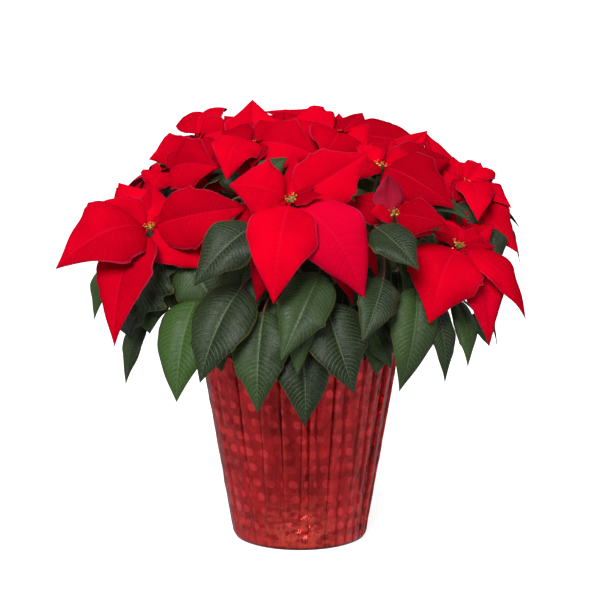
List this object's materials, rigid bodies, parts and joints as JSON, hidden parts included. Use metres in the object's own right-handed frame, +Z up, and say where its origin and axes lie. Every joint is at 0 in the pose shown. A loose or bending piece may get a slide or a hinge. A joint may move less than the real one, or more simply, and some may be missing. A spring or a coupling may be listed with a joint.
{
  "type": "potted poinsettia",
  "caption": "Flowering poinsettia with broad pointed bracts over drooping green leaves, rooted in a tapered pot inside a pleated foil cover.",
  "frame": {"origin": "centre of the pot cover's flat base, on the ground", "axes": "+Z up, -Y towards the side that the picture shows, +X to its right"},
  "size_m": [0.411, 0.3793, 0.3928],
  "materials": {
    "bract_red": "soft matte petals with a faint sheen and fine side veins",
    "leaf_green": "dark matte leaf with pale side veins and a bluish sheen",
    "cyathia_yellow": "waxy yellow-green cups with red tips",
    "foil_red": "metallic red foil, pleated and crumpled, with brighter round spots",
    "pot_plastic": "thin black nursery plastic",
    "potting_mix": "dark loose fibrous soil"
  },
  "bodies": {
    "root": {"bracts_h01": "bract_red", "bracts_h02": "bract_red", "bracts_h03": "bract_red", "bracts_h04": "bract_red", "bracts_h05": "bract_red", "bracts_h06": "bract_red", "bracts_h07": "bract_red", "bracts_h08": "bract_red", "bracts_h09": "bract_red", "bracts_h10": "bract_red", "bracts_h11": "bract_red", "bracts_h12": "bract_red", "bracts_h13": "bract_red", "bracts_h14": "bract_red", "cyathia_h01": "cyathia_yellow", "cyathia_h02": "cyathia_yellow", "cyathia_h03": "cyathia_yellow", "cyathia_h04": "cyathia_yellow", "cyathia_h05": "cyathia_yellow", "cyathia_h06": "cyathia_yellow", "cyathia_h07": "cyathia_yellow", "cyathia_h08": "cyathia_yellow", "cyathia_h09": "cyathia_yellow", "cyathia_h10": "cyathia_yellow", "cyathia_h11": "cyathia_yellow", "cyathia_h12": "cyathia_yellow", "cyathia_h13": "cyathia_yellow", "cyathia_h14": "cyathia_yellow", "leafy_stem_left": "leaf_green", "leafy_stem_middle": "leaf_green", "leafy_stem_right": "leaf_green", "nursery_pot": "pot_plastic", "pot_cover": "foil_red", "potting_mix": "potting_mix"}
  },
  "joints": []
}
